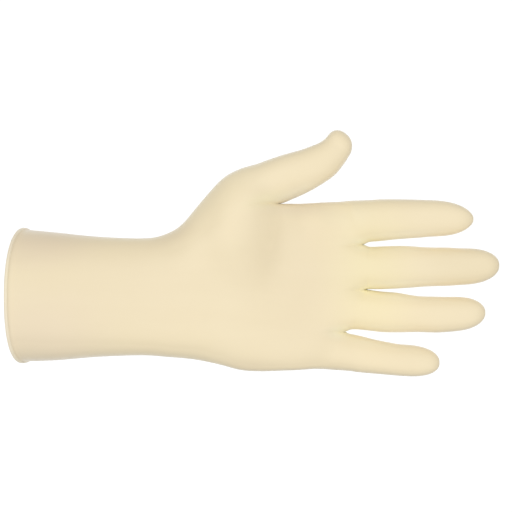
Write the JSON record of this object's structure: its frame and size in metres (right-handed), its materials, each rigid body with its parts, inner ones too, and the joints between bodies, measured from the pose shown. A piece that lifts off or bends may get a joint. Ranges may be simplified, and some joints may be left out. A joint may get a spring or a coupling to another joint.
{
  "type": "disposable glove",
  "caption": "Thin latex glove for one hand, in its worn form, with a long cuff and a rolled bead at the open rim.",
  "frame": {"origin": "the middle of the hollow at the wrist, its narrowest place, where the glove sits on the wrist", "axes": "+X along the hand from the wrist to the fingertips, +Z to the thumb's side, and the palm faces -Y"},
  "size_m": [0.2794, 0.0731, 0.1392],
  "materials": {
    "latex": "smooth matt natural latex film, cream, slightly translucent"
  },
  "bodies": {
    "root": {"glove_film": "latex"}
  },
  "joints": []
}
